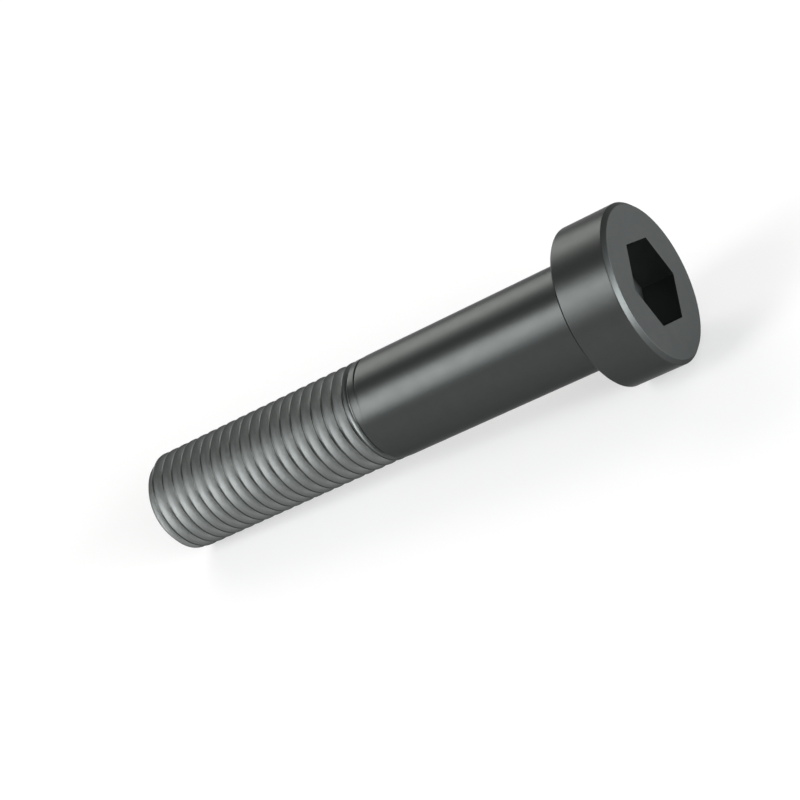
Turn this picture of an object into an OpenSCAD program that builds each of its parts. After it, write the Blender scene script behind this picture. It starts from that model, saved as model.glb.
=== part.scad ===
// Low head socket cap screw, metric, one solid piece of blackened steel.
// It lies on a flat surface: the underside of the head and the last thread crest touch it.
// Lengths are in millimetres. The origin is the centre of the bearing face under the head,
// the tip points to -X and the head to +X.

/* [Head] */
// Diameter of the head
head_d = 24; // [22:0.5:30]
// Height of the head
head_h = 9; // [7:0.5:14]
// Chamfer round the top of the head, at 45 degrees
head_chamfer = 0.6; // [0.2:0.1:1.2]
// Small bevel round the underside of the head
head_bevel = 0.3; // [0.1:0.1:0.6]

/* [Socket] */
// Hexagon socket, across its flats
socket_af = 12; // [8:0.5:14]
// Depth of the socket
socket_depth = 5.3; // [4:0.1:6.5]

/* [Shank] */
// Nominal diameter, which the plain shank has
nominal_d = 16; // [14:0.5:18]
// Length from the bearing face to the tip
screw_length = 80; // [60:5:120]
// Radius of the fillet between the shank and the head
fillet_r = 0.6; // [0.2:0.1:1]
// Length of the taper where the plain shank drops to the thread
shank_taper = 0.3; // [0.1:0.1:1]

/* [Thread] */
// Pitch of the thread, right-hand, with one start
pitch = 2; // [1.5:0.1:2.5]
// How far the thread's crests lie inside the nominal diameter, on the radius
crest_inset = 0.05; // [0.03:0.01:0.1]
// Length of the fully formed thread, from the tip
thread_length = 39.1; // [20:0.1:44]
// Length of the cone on which the groove runs out towards the plain shank
runout_length = 3.4; // [2:0.1:6]
// Diameter of the flat end inside the chamfer of the tip
tip_d = 13.5; // [10:0.1:14]
// Where round the axis the first groove crosses the end, in degrees
thread_start = 10; // [0:1:359]

/* [Hidden] */
$fn = 96;

// A metric thread: flanks at 30 degrees to the plane across the axis, flat crests and roots
crest_r = nominal_d / 2 - crest_inset;
thread_depth = 0.6134 * pitch;
root_r = crest_r - thread_depth;
flank_w = thread_depth * tan(30);
crest_w = pitch / 8;
groove_w = pitch - crest_w;
// The groove's section, as radius and height above its edge on the side of the tip
groove_section = [[crest_r, 0], [root_r, flank_w], [root_r, groove_w - flank_w], [crest_r, groove_w]];

// Heights along the axis, from the bearing face
tip_z = -screw_length;
runout_start = tip_z + thread_length;
shank_end = runout_start + runout_length;
// The threaded rod reaches this far into the shank, and the run-out cone this far into the rod
overlap = 0.5;
// The end of the shank is this much wider than the thread, so that the two faces never coincide
shank_end_step = 0.02;
// Cutting solids reach this far past what they cut
past = 1;

// Steps of the helix: a turn has turn_steps of them
turn_steps = 36;
first_z = tip_z - groove_w / 2 - pitch;
steps = ceil((shank_end + overlap - first_z) / pitch * turn_steps);

// Resting on a flat surface, the axis rises towards the head by this angle
tip_contact = tip_z + (crest_r - tip_d / 2);
lie_tilt = atan((head_d / 2 - crest_r) / (head_bevel - tip_contact));

// Height of the tip-side edge of the groove at step k
function groove_z(k) = first_z + pitch * k / turn_steps;

// The four points of the groove's section at step k, in place
function groove_points(k) =
    let (a = thread_start + 360 * k / turn_steps)
    [for (p = groove_section) [p[0] * cos(a), p[0] * sin(a), groove_z(k) + p[1]]];

// Number of point b at step k. Point 4 is the same as point 0 one turn later
function point_no(k, b) =
    b == 4 ? point_no(k + turn_steps, 0) :
    k <= steps ? 4 * k + b : 4 * (steps + 1) + k - steps - 1;

// Triangles from a centre point round a loop of points
function fan(centre, loop) =
    [for (i = [0 : len(loop) - 1]) [centre, loop[i], loop[(i + 1) % len(loop)]]];

// The threaded rod as one helical strip, closed at both ends by a fan of triangles
module thread_rod() {
    last_points = [for (k = [steps + 1 : steps + turn_steps]) groove_points(k)[0]];
    ends = [[0, 0, groove_z(turn_steps / 2)], [0, 0, groove_z(steps + turn_steps / 2)]];
    points = concat([for (k = [0 : steps]) each groove_points(k)], last_points, ends);
    low_centre = len(points) - 2;
    high_centre = len(points) - 1;
    low_loop = concat([for (k = [0 : turn_steps]) point_no(k, 0)],
                      [for (b = [3 : -1 : 1]) point_no(0, b)]);
    high_loop = concat([for (b = [0 : 3]) point_no(steps, b)],
                       [for (k = [steps + turn_steps : -1 : steps + 1]) point_no(k, 0)]);
    sides = [for (k = [0 : steps - 1]) for (b = [0 : 3])
        let (p = point_no(k, b), q = point_no(k, b + 1),
             r = point_no(k + 1, b + 1), s = point_no(k + 1, b))
        each [[p, q, r], [p, r, s]]];
    polyhedron(points, concat(sides, fan(low_centre, low_loop), fan(high_centre, high_loop)));
}

// The space inside the flat end and the chamfer of the tip
module tip_envelope() {
    wide_r = crest_r + past;
    rotate_extrude()
        polygon([[0, tip_z], [tip_d / 2, tip_z], [wide_r, tip_z + wide_r - tip_d / 2],
                 [wide_r, 0], [0, 0]]);
}

module thread() {
    intersection() {
        thread_rod();
        tip_envelope();
    }
}

// Half section of the head, the plain shank and the cone that the groove runs out on
module body_section() {
    head_r = head_d / 2;
    shank_r = nominal_d / 2;
    shank_end_r = crest_r + shank_end_step;
    cone_slope = (shank_end_r - root_r) / runout_length;
    polygon([[0, 0], [head_r - head_bevel, 0], [head_r, head_bevel], [head_r, head_h - head_chamfer],
             [head_r - head_chamfer, head_h], [0, head_h]]);
    polygon([[0, runout_start - overlap], [root_r - overlap * cone_slope, runout_start - overlap],
             [shank_end_r, shank_end], [shank_r, shank_end + shank_taper], [shank_r, 0], [0, 0]]);
    difference() {
        translate([0, -fillet_r]) square([shank_r + fillet_r, fillet_r]);
        translate([shank_r + fillet_r, -fillet_r]) circle(fillet_r);
    }
}

module socket() {
    translate([0, 0, head_h - socket_depth])
        cylinder(d = socket_af / cos(30), h = socket_depth + past, $fn = 6);
}

module screw() {
    color([0.25, 0.25, 0.26])
    rotate([0, 90 - lie_tilt, 0])
    difference() {
        union() {
            rotate_extrude() body_section();
            thread();
        }
        socket();
    }
}

screw();
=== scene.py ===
import math

import bpy
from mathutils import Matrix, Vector


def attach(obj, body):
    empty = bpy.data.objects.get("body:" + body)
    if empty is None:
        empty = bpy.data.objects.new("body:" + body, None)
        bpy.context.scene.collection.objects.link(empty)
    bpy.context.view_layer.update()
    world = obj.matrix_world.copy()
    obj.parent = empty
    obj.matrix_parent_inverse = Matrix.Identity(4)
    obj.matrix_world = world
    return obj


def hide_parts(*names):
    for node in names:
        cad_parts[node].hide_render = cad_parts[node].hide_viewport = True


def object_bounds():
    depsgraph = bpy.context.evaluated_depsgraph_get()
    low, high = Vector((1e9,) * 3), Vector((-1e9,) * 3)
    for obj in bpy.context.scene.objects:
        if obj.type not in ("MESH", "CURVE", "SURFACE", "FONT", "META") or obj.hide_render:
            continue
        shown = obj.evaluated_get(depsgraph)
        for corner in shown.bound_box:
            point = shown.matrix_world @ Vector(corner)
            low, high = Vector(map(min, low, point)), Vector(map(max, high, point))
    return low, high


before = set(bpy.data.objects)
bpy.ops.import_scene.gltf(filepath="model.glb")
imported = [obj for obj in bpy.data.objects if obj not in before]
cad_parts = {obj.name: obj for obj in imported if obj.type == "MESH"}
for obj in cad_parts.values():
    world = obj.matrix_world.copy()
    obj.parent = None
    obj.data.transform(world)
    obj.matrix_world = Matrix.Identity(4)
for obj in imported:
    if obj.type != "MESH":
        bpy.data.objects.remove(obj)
cadLow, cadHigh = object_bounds()
mm = 0.001
print("frame loaded")

# The screw is modelled upright about Z, in mm, with the bearing face under its head at height 0
# and its tip below. At the end it is laid down as it rests, with the tip towards -X.

headValues = {
    "diameter": 24,
    "height": 9,
    "chamfer": 0.6,  # round the top, at 45 degrees
    "bevel": 0.3,  # round the underside
    "edgeRounding": 0.07,
    "roundingSteps": 3,
    "sides": 256,
}
socketValues = {
    "acrossFlats": 12,
    "depth": 5.3,
    "cornerRounding": 0.05,
    "cornerSteps": 3,
    "mouthRounding": 0.06,
    "mouthSteps": 2,
}
shankValues = {
    "diameter": 16,
    "length": 80,  # from the bearing face to the tip
    "fillet": 0.6,  # under the head
    "filletSteps": 6,
    "taper": 0.3,  # where the shank drops to the thread
    "endStep": 0.02,  # how much its end stands above the crests
}
threadValues = {
    "pitch": 2,
    "depth": 0.6134,  # times the pitch
    "crestWidth": 0.125,  # times the pitch
    "flankAngle": 30,  # degrees between a flank and the plane across the axis
    "crestInset": 0.05,  # of the crests inside the shank's radius
    "crestRounding": 0.03,
    "rootRounding": 0.06,
    "fullLength": 39.1,  # from the tip
    "runoutLength": 3.4,  # from there to the shank
    # how much of the groove's depth is left, by how far its middle is past the full thread
    "runout": ((0.5, 1), (2, 0.45), (3.85, 0.22), (4.05, 0.01)),
    "coreRadius": 5,  # of the plug that joins the shank to the thread
    "overlap": 0.8,  # how far the rod and the shank's plug reach into each other
    "tipDiameter": 13.5,  # of the flat end inside the chamfer
    "startAngle": 10,  # degrees round the axis to where the groove crosses the end
    "stepsPerTurn": 96,
    "cornerSteps": 3,
}

pitch = threadValues["pitch"]
shankRadius = shankValues["diameter"] / 2
crestRadius = shankRadius - threadValues["crestInset"]
threadDepth = threadValues["depth"] * pitch
rootRadius = crestRadius - threadDepth
tipHeight = -shankValues["length"]
tipRadius = threadValues["tipDiameter"] / 2
runoutStart = tipHeight + threadValues["fullLength"]
shankEnd = runoutStart + threadValues["runoutLength"]
flankAngle = math.radians(threadValues["flankAngle"])
flankSlope = math.tan(flankAngle)
grooveEdge = pitch * (1 - threadValues["crestWidth"]) / 2  # half the groove's width at the crests
rootEdge = grooveEdge - threadDepth * flankSlope  # and at its root
# height of the middle of the first groove on the X side of the axis
grooveStart = tipHeight - pitch * (1 + threadValues["startAngle"] / 360)

headRadius = headValues["diameter"] / 2
cornerRadius = socketValues["acrossFlats"] / 2 / math.cos(math.pi / 6)
socketFloor = headValues["height"] - socketValues["depth"]

# At rest the head's rim and the last crest touch the floor, so the axis rises towards the head
tipContact = tipHeight + crestRadius - tipRadius
lieTilt = math.atan((headRadius - crestRadius) / (headValues["bevel"] - tipContact))
layDown = math.pi / 2 - lieTilt  # turn about Y from upright to lying

nearby = 0.001  # points closer than this count as one


def deselectAll():
    if bpy.context.mode != "OBJECT":
        bpy.ops.object.mode_set(mode="OBJECT")
    bpy.ops.object.select_all(action="DESELECT")


def makeActive(obj):
    deselectAll()
    obj.select_set(True)
    bpy.context.view_layer.objects.active = obj


def extrudeRings(name, rings, sides):
    # a filled circle, extruded and scaled from ring to ring up the axis
    deselectAll()
    radius, height = rings[0]
    bpy.ops.mesh.primitive_circle_add(
        vertices=sides, radius=radius * mm, fill_type="NGON", location=(0, 0, height * mm))
    obj = bpy.context.active_object
    obj.name = name
    bpy.ops.object.mode_set(mode="EDIT")
    for nextRadius, nextHeight in rings[1:]:
        rise = (nextHeight - height) * mm
        bpy.ops.mesh.extrude_region_move(TRANSFORM_OT_translate={"value": (0, 0, rise)})
        grow = nextRadius / radius
        bpy.ops.transform.resize(value=(grow, grow, 1), center_override=(0, 0, nextHeight * mm))
        radius, height = nextRadius, nextHeight
    bpy.ops.mesh.select_all(action="SELECT")
    bpy.ops.mesh.normals_make_consistent(inside=False)
    bpy.ops.object.mode_set(mode="OBJECT")
    bpy.ops.object.transform_apply(location=True, rotation=False, scale=False)
    return obj


def selectEdges(obj, wanted):
    # leaves obj in edit mode with only the edges selected whose two ends pass the test, in mm
    makeActive(obj)
    bpy.ops.object.mode_set(mode="EDIT")
    bpy.ops.mesh.select_mode(type="EDGE")
    bpy.ops.mesh.select_all(action="DESELECT")
    bpy.ops.object.mode_set(mode="OBJECT")
    for edge in obj.data.edges:
        ends = [obj.data.vertices[index].co / mm for index in edge.vertices]
        edge.select = wanted(*ends)
    bpy.ops.object.mode_set(mode="EDIT")


def bevelSelected(width, segments):
    # rounds the selected edges and goes back to object mode
    bpy.ops.mesh.bevel(offset_type="OFFSET", offset=width * mm, segments=segments, profile=0.5)
    bpy.ops.object.mode_set(mode="OBJECT")


def combine(target, other, operation):
    makeActive(target)
    step = target.modifiers.new("combine", "BOOLEAN")
    step.operation = operation
    step.solver = "EXACT"
    step.object = other
    bpy.ops.object.modifier_apply(modifier=step.name)
    bpy.data.objects.remove(other)


def near(value, target):
    return abs(value - target) < nearby


def addBody():
    # the head and the plain shank, with a plug below that the thread goes round
    fillet = shankValues["fillet"]
    rings = [
        (threadValues["coreRadius"], shankEnd - threadValues["overlap"]),
        (threadValues["coreRadius"], shankEnd),
        (crestRadius + shankValues["endStep"], shankEnd),
        (shankRadius, shankEnd + shankValues["taper"]),
    ]
    for step in range(shankValues["filletSteps"] + 1):
        angle = math.pi / 2 * step / shankValues["filletSteps"]
        rings.append((shankRadius + fillet * (1 - math.cos(angle)), fillet * (math.sin(angle) - 1)))
    rings += [
        (headRadius - headValues["bevel"], 0),
        (headRadius, headValues["bevel"]),
        (headRadius, headValues["height"] - headValues["chamfer"]),
        (headRadius - headValues["chamfer"], headValues["height"]),
    ]
    body = extrudeRings("capScrew", rings, headValues["sides"])

    rim = headRadius - 2 * headValues["chamfer"]  # the head's round edges all lie outside it

    def onRim(first, second):
        # a level edge with both ends outside, and not on the shank
        return near(first.z, second.z) and min(first.xy.length, second.xy.length) > rim

    selectEdges(body, onRim)
    bevelSelected(headValues["edgeRounding"], headValues["roundingSteps"])
    return body


def cutSocket(body):
    # a six-sided cutter with rounded corners, then the mouth's edge is broken
    deselectAll()
    reach = 1  # of the cutter past the top of the head
    depth = socketValues["depth"] + reach
    middle = socketFloor + depth / 2
    bpy.ops.mesh.primitive_cylinder_add(
        vertices=6, radius=cornerRadius * mm, depth=depth * mm, location=(0, 0, middle * mm))
    cutter = bpy.context.active_object
    bpy.ops.object.mode_set(mode="EDIT")
    bpy.ops.mesh.select_all(action="SELECT")
    # the primitive's first corner is on Y, and the screw's is on X, which points down once it lies
    bpy.ops.transform.rotate(value=math.radians(30), orient_axis="Z", center_override=(0, 0, 0))
    bpy.ops.object.mode_set(mode="OBJECT")
    bpy.ops.object.transform_apply(location=True, rotation=False, scale=False)
    selectEdges(cutter, lambda first, second: not near(first.z, second.z))
    bevelSelected(socketValues["cornerRounding"], socketValues["cornerSteps"])
    combine(body, cutter, "DIFFERENCE")

    def onMouth(first, second):
        onTop = near(first.z, headValues["height"]) and near(second.z, headValues["height"])
        return onTop and max(first.xy.length, second.xy.length) < cornerRadius + nearby

    selectEdges(body, onMouth)
    bevelSelected(socketValues["mouthRounding"], socketValues["mouthSteps"])


def threadProfile():
    # one turn's section as (radius, height), from the middle of a crest to the middle of the next
    steps = threadValues["cornerSteps"]
    sweep = math.pi / 2 - flankAngle  # of the arcs that round the root and the crest
    angles = [sweep * step / steps for step in range(steps + 1)]
    tangent = math.tan(sweep / 2)  # from a corner to its arc, times the arc's radius
    rootArc = threadValues["rootRounding"]
    rootStart = rootEdge - rootArc * tangent
    crestArc = threadValues["crestRounding"]
    crestEnd = grooveEdge + crestArc * tangent
    half = [(rootRadius, 0)]
    for angle in angles:
        radius = rootRadius + rootArc * (1 - math.cos(angle))
        half.append((radius, rootStart + rootArc * math.sin(angle)))
    for angle in reversed(angles):
        radius = crestRadius - crestArc * (1 - math.cos(angle))
        half.append((radius, crestEnd - crestArc * math.sin(angle)))
    half.append((crestRadius, pitch / 2))
    mirrored = [(radius, -height) for radius, height in reversed(half)]
    return mirrored + half[1:]


def depthLeft(past):
    # the share of the groove's depth that is left, this far past the full thread
    stages = threadValues["runout"]
    if past <= stages[0][0]:
        return stages[0][1]
    for (start, first), (end, last) in zip(stages, stages[1:]):
        if past < end:
            return first + (last - first) * (past - start) / (end - start)
    return stages[-1][1]


def runOut(thread):
    # near the shank the groove slides out along its flank that faces the head, so it gets
    # shallower and narrower and leaves a widening crest behind it
    for vertex in thread.data.vertices:
        x, y, z = vertex.co / mm
        middle = grooveStart + pitch * math.atan2(y, x) / (2 * math.pi)
        middle += pitch * round((z - middle) / pitch)
        share = depthLeft(middle - runoutStart)
        if share == 1:
            continue
        across = z - middle
        slide = threadDepth * (1 - share) * flankSlope
        if across > grooveEdge:
            if not near(across, pitch / 2):
                across -= 2 * slide
        elif across > rootEdge:
            across = grooveEdge - 2 * slide - (grooveEdge - across) * share
        elif across > -rootEdge:
            across -= slide
        elif across > -grooveEdge:
            across = (across + grooveEdge) * share - grooveEdge
        radius = math.hypot(x, y)
        grow = (crestRadius - (crestRadius - radius) * share) / radius
        vertex.co = Vector((x * grow, y * grow, middle + across)) * mm


def addThread():
    # the section is turned into a rod by the Screw modifier, and the rod is cut square
    points = [Vector((radius, 0, height + grooveStart)) * mm for radius, height in threadProfile()]
    deselectAll()
    bpy.ops.mesh.primitive_plane_add(size=mm, location=points[0])
    thread = bpy.context.active_object
    bpy.ops.object.mode_set(mode="EDIT")
    bpy.ops.mesh.select_mode(type="VERT")
    bpy.ops.mesh.select_all(action="SELECT")
    bpy.ops.mesh.merge(type="CENTER")
    for last, point in zip(points, points[1:]):
        bpy.ops.mesh.extrude_region_move(TRANSFORM_OT_translate={"value": point - last})
    bpy.ops.object.mode_set(mode="OBJECT")
    bpy.ops.object.transform_apply(location=True, rotation=False, scale=False)
    rodEnd = shankEnd + threadValues["overlap"]
    turns = thread.modifiers.new("turns", "SCREW")
    turns.axis = "Z"
    turns.screw_offset = pitch * mm
    turns.iterations = math.ceil((rodEnd - grooveStart) / pitch) + 2
    turns.steps = threadValues["stepsPerTurn"]
    turns.render_steps = threadValues["stepsPerTurn"]
    bpy.ops.object.modifier_apply(modifier=turns.name)
    bpy.ops.object.mode_set(mode="EDIT")
    bpy.ops.mesh.select_all(action="SELECT")
    bpy.ops.mesh.remove_doubles(threshold=nearby * mm)
    bpy.ops.object.mode_set(mode="OBJECT")
    runOut(thread)
    bpy.ops.object.mode_set(mode="EDIT")
    spare = 0.3  # the rod is cut this far below the tip, which the envelope then cuts
    bpy.ops.mesh.bisect(plane_co=(0, 0, (tipHeight - spare) * mm), plane_no=(0, 0, 1),
                        use_fill=True, clear_inner=True)
    bpy.ops.mesh.select_all(action="SELECT")
    bpy.ops.mesh.bisect(plane_co=(0, 0, rodEnd * mm), plane_no=(0, 0, 1),
                        use_fill=True, clear_outer=True)
    bpy.ops.mesh.select_all(action="SELECT")
    bpy.ops.mesh.normals_make_consistent(inside=False)
    bpy.ops.object.mode_set(mode="OBJECT")
    # the flat end and its chamfer
    wide = crestRadius + spare
    envelope = extrudeRings(
        "envelope",
        [(tipRadius, tipHeight), (wide, tipHeight + wide - tipRadius), (wide, rodEnd + spare)],
        headValues["sides"])
    combine(thread, envelope, "INTERSECT")
    return thread


screw = addBody()
cutSocket(screw)
print("head, socket and shank modelled")
thread = addThread()
print("thread modelled")
combine(screw, thread, "UNION")
makeActive(screw)
screw.rotation_euler = (0, layDown, 0)
bpy.ops.object.transform_apply(location=False, rotation=True, scale=False)
bpy.ops.object.shade_smooth_by_angle(angle=math.radians(32))
weighted = screw.modifiers.new("weighted", "WEIGHTED_NORMAL")
weighted.keep_sharp = True
bpy.ops.object.modifier_apply(modifier=weighted.name)
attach(screw, "root")
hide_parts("screw")
print("screw laid down,", len(screw.data.polygons), "faces")


class Number:
    # a number that varies over a surface; an expression on such numbers adds its Math nodes
    def __init__(self, tree, socket):
        self.tree = tree
        self.socket = socket

    def math(self, operation, first, second):
        node = addNode(self.tree, "ShaderNodeMath", {"operation": operation}, {0: first, 1: second})
        return Number(self.tree, node.outputs[0])

    def __add__(self, other):
        return self.math("ADD", self, other)

    def __radd__(self, other):
        return self.math("ADD", other, self)

    def __sub__(self, other):
        return self.math("SUBTRACT", self, other)

    def __rsub__(self, other):
        return self.math("SUBTRACT", other, self)

    def __mul__(self, other):
        return self.math("MULTIPLY", self, other)

    def __rmul__(self, other):
        return self.math("MULTIPLY", other, self)

    def __pow__(self, other):
        return self.math("POWER", self, other)

    def __truediv__(self, other):
        return self.math("DIVIDE", self, other)

    def larger(self, other):
        return self.math("MAXIMUM", self, other)

    def size(self):
        return self.math("ABSOLUTE", self, 0)

    def fraction(self):
        return self.math("FRACT", self, 0)

    def angle(self, across):
        return self.math("ARCTAN2", self, across)

    def between(self, low, high):
        # rises smoothly from 0 at low to 1 at high
        node = addNode(self.tree, "ShaderNodeMapRange", {"interpolation_type": "SMOOTHSTEP"},
                       {"Value": self, "From Min": low, "From Max": high})
        return Number(self.tree, node.outputs[0])

    def fade(self, edge, reach):
        # the same over a stretch that is given by how far its two ends are from an edge
        return self.between(edge + reach[0], edge + reach[1])


def addNode(tree, nodeType, settings, values):
    node = tree.nodes.new(nodeType)
    for name, value in settings.items():
        setattr(node, name, value)
    for key, value in values.items():
        if isinstance(value, Number):
            value = value.socket
        if isinstance(value, bpy.types.NodeSocket):
            tree.links.new(value, node.inputs[key])
        else:
            node.inputs[key].default_value = value
    return node


def newMaterial(name):
    material = bpy.data.materials.new(name)
    material.use_nodes = True
    material.node_tree.nodes.clear()
    return material, material.node_tree


steelValues = {
    "colour": (0.056, 0.060, 0.059),
    "edgeTint": (0.5, 0.5, 0.5),  # how much less the steel shines at a glancing angle
    "roughness": 0.33,
    "facePaintedReflection": 2,  # how much lighter the top of the head is painted, a painted reflection
    "chamferPaintedHighlight": 1.25,  # and its chamfer, a painted highlight
    "topRoughness": 0.45,
    "flankTint": (0.0577, 0.060, 0.0588),  # the flanks of the rolled thread are greyer
    "flankPaintedLight": 2.25,  # and lighter, painted light against the shade that the neighbouring turns cast
    "flankRoughness": 0.47,
    "groovePaintedLight": 3.2,  # painted light, lighter again further in where the groove is most shaded
    "grooveMetallic": 0.98,
    "rootPaintedShade": 0.3,  # painted shade, the root drawn darker as in a crease
    "socketMetallic": 0.97,
    # painted light on the middle of the socket's floor, fading to painted shade towards its flats
    "socketFloorPaintedLight": 2.3,
    "socketFloorMetallic": 0.8,
    "mottleScale": 0.5,  # patches per mm
    "mottle": 0.16,  # share of the colour that changes from patch to patch
    "grainScale": 6,
    "grain": 0.08,
    "threadGrain": 5,  # how much stronger the grain is on the rolled thread
    "unevenRoughness": 0.3,  # how much the roughness follows the patches and the grain
    "turningScale": 5,  # turning marks per mm
    "turningDepth": 0.0004,  # mm
}
# where a finish or a painted light or shade comes in: it starts and is complete this far past the edge
# of its surface, in mm
edgeFades = {
    "thread": (0.05, -0.05),
    "tip": (0.02, 0.1),
    "crest": (-0.02, -0.08),
    "root": (0, -0.1),
    "rootEnd": (0, -1),
    "face": (-0.07, -0.03),
    "chamfer": (-0.04, 0.04),
    "chamferInside": (-3, -2),
    "socketSides": (0.3, 0.1),
    "socketDepth": (-0.4, -0.2),
    "socketFloor": (0.1, 0.02),
    "socketFloorSides": (0.72, -1.44),
}


def threadZones(across, aside, height, radius):
    # all that lies below the crests, then the flanks, their deeper part, and the root
    onThread = height.fade(shankEnd, edgeFades["thread"])
    # the flat end and its chamfer are left out
    offTip = (height.fade(tipHeight, edgeFades["tip"])
              * (height - radius).fade(tipHeight - tipRadius, edgeFades["tip"]))
    belowCrest = onThread * offTip * radius.fade(crestRadius, edgeFades["crest"])
    # where a point is between the middle of one crest and the next, 0 at the groove's middle
    turns = (height - grooveStart) / pitch - aside.angle(across) / (2 * math.pi) + 0.5
    offset = (turns.fraction() - 0.5) * pitch
    past = height - offset - runoutStart
    outStart, outEnd = threadValues["runout"][0][0], threadValues["runout"][-1][0]
    slide = threadDepth * flankSlope * past.between(outStart, outEnd)
    onRoot = (belowCrest * past.fade(outEnd, edgeFades["rootEnd"])
              * (offset + slide).size().fade(rootEdge, edgeFades["root"]))
    flankEnd = outEnd + 0.5  # a little past the groove's last trace
    onFlank = belowCrest * (1 - onRoot) * past.between(flankEnd, outStart)
    deeper = crestRadius - 0.1  # from here to the root the flank is painted lighter, against the shade in the groove
    inGroove = onFlank * radius.between(deeper, rootRadius)
    return belowCrest, onFlank, inGroove, onRoot


def headZones(across, aside, height, radius):
    # the faced top, its chamfer, the inside of the socket, and the middle of its floor
    onFace = height.fade(headValues["height"], edgeFades["face"])
    onChamfer = (height.fade(headValues["height"] - headValues["chamfer"], edgeFades["chamfer"])
                 * radius.fade(headRadius, edgeFades["chamferInside"]))
    inSocket = (radius.fade(cornerRadius, edgeFades["socketSides"])
                * height.fade(socketFloor, edgeFades["socketDepth"]) * (1 - onFace))
    # how far out a point lies towards the flats, whose directions are 60 degrees apart
    slant, half = math.cos(math.pi / 6), math.sin(math.pi / 6)
    outwards = aside.size().larger((across * slant + aside * half).size()).larger(
        (across * slant - aside * half).size())
    onFloor = (inSocket * height.fade(socketFloor, edgeFades["socketFloor"])
               * outwards.fade(socketValues["acrossFlats"] / 2, edgeFades["socketFloorSides"]))
    return onFace, onChamfer, inSocket, onFloor


def factor(amount, zone):
    # 1 outside a zone, and the amount inside it
    return 1 + (amount - 1) * zone


def blackenedSteel():
    # the oxide is a little patchy and fine grained, over faint turning marks, with painted light and
    # shade on the thread, the top of the head and the socket's floor
    material, tree = newMaterial("blackenedSteel")
    place = addNode(tree, "ShaderNodeTexCoord", {}, {})
    upright = addNode(tree, "ShaderNodeMapping", {"vector_type": "POINT"}, {
        "Vector": place.outputs["Object"],
        "Rotation": (0, -layDown, 0),
        "Scale": (1 / mm, 1 / mm, 1 / mm),
    })
    split = addNode(tree, "ShaderNodeSeparateXYZ", {}, {"Vector": upright.outputs[0]})
    across, aside, height = (Number(tree, output) for output in split.outputs)
    radius = (across * across + aside * aside) ** 0.5
    belowCrest, onFlank, inGroove, onRoot = threadZones(across, aside, height, radius)
    onFace, onChamfer, inSocket, onFloor = headZones(across, aside, height, radius)

    def noise(scale, detail):
        # varies about 0
        node = addNode(tree, "ShaderNodeTexNoise", {"noise_dimensions": "3D"}, {
            "Vector": upright.outputs[0], "Scale": scale, "Detail": detail, "Roughness": 0.6})
        return Number(tree, node.outputs[0]) - 0.5

    mottle = noise(steelValues["mottleScale"], 4) * steelValues["mottle"]
    grain = (noise(steelValues["grainScale"], 2) * steelValues["grain"]
             * factor(steelValues["threadGrain"], belowCrest))
    # painted light and shade by zone, times the real mottle and grain
    lightness = (factor(steelValues["flankPaintedLight"], onFlank)
                 * factor(steelValues["groovePaintedLight"], inGroove)
                 * factor(steelValues["rootPaintedShade"], onRoot)
                 * factor(steelValues["facePaintedReflection"], onFace)
                 * factor(steelValues["chamferPaintedHighlight"], onChamfer * (1 - onFace))
                 * factor(steelValues["socketFloorPaintedLight"], onFloor) * (1 - mottle - grain))
    tint = addNode(tree, "ShaderNodeMix", {"data_type": "VECTOR"}, {
        0: onFlank, 4: steelValues["colour"], 5: steelValues["flankTint"]})
    colour = addNode(tree, "ShaderNodeVectorMath", {"operation": "SCALE"}, {
        0: tint.outputs[1], "Scale": lightness})
    metallic = (factor(steelValues["grooveMetallic"], inGroove)
                * factor(steelValues["socketMetallic"], inSocket)
                * factor(steelValues["socketFloorMetallic"], onFloor))
    roughness = (steelValues["roughness"]
                 + (steelValues["flankRoughness"] - steelValues["roughness"]) * onFlank
                 + (steelValues["topRoughness"] - steelValues["roughness"]) * onFace.larger(onChamfer)
                 + (mottle + grain) * steelValues["unevenRoughness"])
    turning = addNode(tree, "ShaderNodeTexNoise", {"noise_dimensions": "1D"}, {
        "W": height + radius, "Scale": steelValues["turningScale"], "Detail": 2})
    marks = addNode(tree, "ShaderNodeBump", {}, {
        "Strength": 1, "Distance": steelValues["turningDepth"] * mm, "Height": turning.outputs[0]})
    surface = addNode(tree, "ShaderNodeBsdfPrincipled", {}, {
        "Base Color": colour.outputs[0],
        "Metallic": metallic,
        "Roughness": roughness,
        "Specular Tint": (*steelValues["edgeTint"], 1),
        "Normal": marks.outputs[0],
    })
    addNode(tree, "ShaderNodeOutputMaterial", {}, {"Surface": surface.outputs[0]})
    return material


screw.data.materials.clear()
screw.data.materials.append(blackenedSteel())
print("screw finished")

floorValues = {
    "size": 6,  # metres
    "colour": (0.85, 0.85, 0.85),
    "whitened": 0.5,  # share that looks white in itself, the rest takes the light and the shadow
    "clearing": (0.2, 0.8),  # metres over which it all turns white, far from the screw
}


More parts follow.
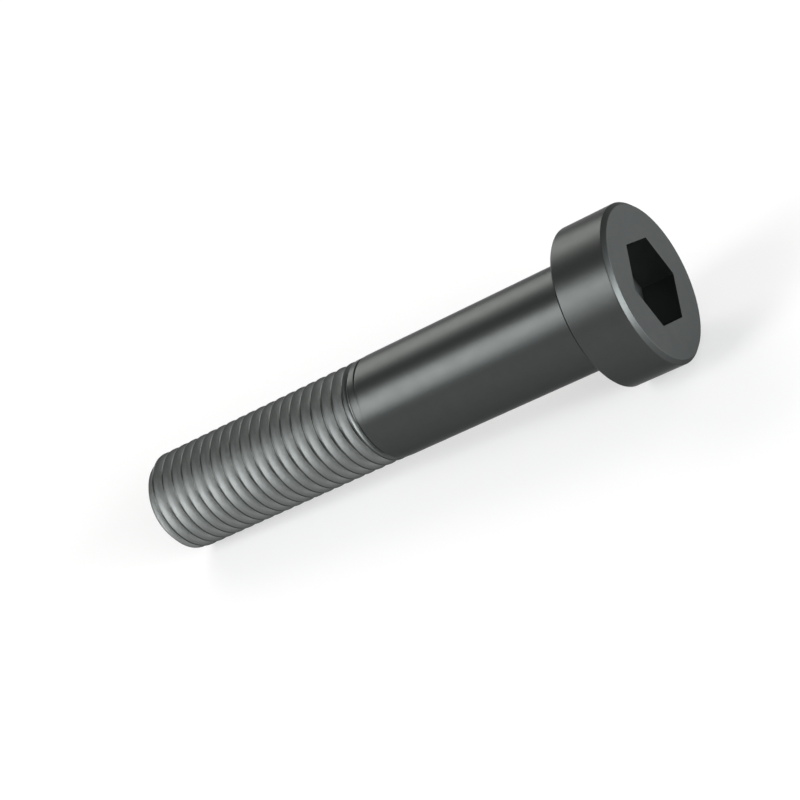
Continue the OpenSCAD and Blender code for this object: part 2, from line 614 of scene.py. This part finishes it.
def addFloor():
    deselectAll()
    bpy.ops.mesh.primitive_plane_add(size=floorValues["size"], location=(0, 0, cadLow.z))
    floor = bpy.context.active_object
    floor.name = "floor"
    material, tree = newMaterial("palePaper")
    lit = addNode(tree, "ShaderNodeBsdfDiffuse", {}, {"Color": (*floorValues["colour"], 1)})
    white = addNode(tree, "ShaderNodeEmission", {}, {"Color": (1, 1, 1, 1), "Strength": 1})
    ray = addNode(tree, "ShaderNodeLightPath", {}, {})
    seen = (Number(tree, ray.outputs["Is Camera Ray"]) + Number(tree, ray.outputs["Is Glossy Ray"])
            + Number(tree, ray.outputs["Is Transmission Ray"]))
    place = addNode(tree, "ShaderNodeTexCoord", {}, {})
    split = addNode(tree, "ShaderNodeSeparateXYZ", {}, {"Vector": place.outputs["Object"]})
    across, aside = (Number(tree, output) for output in split.outputs[:2])
    far = ((across * across + aside * aside) ** 0.5).between(*floorValues["clearing"])
    share = far.larger(floorValues["whitened"])
    paper = addNode(tree, "ShaderNodeMixShader", {}, {
        0: seen.between(0, 1) * share, 1: lit.outputs[0], 2: white.outputs[0]})
    addNode(tree, "ShaderNodeOutputMaterial", {}, {"Surface": paper.outputs[0]})
    floor.data.materials.append(material)


addFloor()

cameraValues = {
    "place": (0.123127, -0.239967, 0.141437),
    "turn": (57.535, 33.847, 13.94),  # degrees about X, Y and Z
    "lens": 99.06,  # mm
    "sensor": 36,  # mm wide
}


def addCamera():
    deselectAll()
    turn = [math.radians(angle) for angle in cameraValues["turn"]]
    bpy.ops.object.camera_add(location=cameraValues["place"], rotation=turn)
    camera = bpy.context.active_object
    camera.data.lens = cameraValues["lens"]
    camera.data.sensor_width = cameraValues["sensor"]
    camera.data.clip_start = 0.01
    bpy.context.scene.camera = camera


addCamera()

lampDistance = 1.6  # metres from the middle of the screw
lightValues = {
    # turn from +X towards +Y and rise above the floor in degrees, sizes in metres, power in watts
    "key": {"turn": 225, "rise": 38, "width": 0.56, "height": 1.15, "power": 15.8,
            "colour": (1, 1, 1)},
    "side": {"turn": 332, "rise": 13, "width": 1.2, "height": 0.72, "power": 44,
             "colour": (0.97, 0.99, 1)},
    "rear": {"turn": 132, "rise": 33, "width": 0.95, "height": 0.92, "power": 13.5,
             "colour": (1, 0.97, 0.94)},
}


def addLights():
    middle = (cadLow + cadHigh) / 2
    middle.z = cadLow.z
    for name, values in lightValues.items():
        turn = math.radians(values["turn"])
        rise = math.radians(values["rise"])
        away = Vector((math.cos(turn) * math.cos(rise), math.sin(turn) * math.cos(rise), math.sin(rise)))
        deselectAll()
        bpy.ops.object.light_add(type="AREA", location=middle + away * lampDistance)
        lamp = bpy.context.active_object
        lamp.name = name
        lamp.rotation_euler = away.to_track_quat("Z", "Y").to_euler()
        lamp.data.shape = "RECTANGLE"
        lamp.data.size = values["width"]
        lamp.data.size_y = values["height"]
        lamp.data.energy = values["power"]
        lamp.data.color = values["colour"]


addLights()

worldValues = {
    "horizon": (1, 1, 1),
    "overhead": (0.31, 0.31, 0.31),
    "fadeStart": 3,  # degrees above the horizon
    "fadeEnd": 22,
}


def addWorld():
    # pale round the horizon, darker overhead
    world = bpy.data.worlds.new("studio")
    bpy.context.scene.world = world
    world.use_nodes = True
    tree = world.node_tree
    tree.nodes.clear()
    place = addNode(tree, "ShaderNodeTexCoord", {}, {})
    split = addNode(tree, "ShaderNodeSeparateXYZ", {}, {"Vector": place.outputs["Generated"]})
    fade = Number(tree, split.outputs[2]).between(
        math.sin(math.radians(worldValues["fadeStart"])), math.sin(math.radians(worldValues["fadeEnd"])))
    low = addNode(tree, "ShaderNodeBackground", {}, {"Color": (*worldValues["horizon"], 1)})
    high = addNode(tree, "ShaderNodeBackground", {}, {"Color": (*worldValues["overhead"], 1)})
    sky = addNode(tree, "ShaderNodeMixShader", {}, {0: fade, 1: low.outputs[0], 2: high.outputs[0]})
    addNode(tree, "ShaderNodeOutputWorld", {}, {"Surface": sky.outputs[0]})


addWorld()
bpy.context.scene.view_settings.view_transform = "Standard"
print("floor, camera and lights placed")
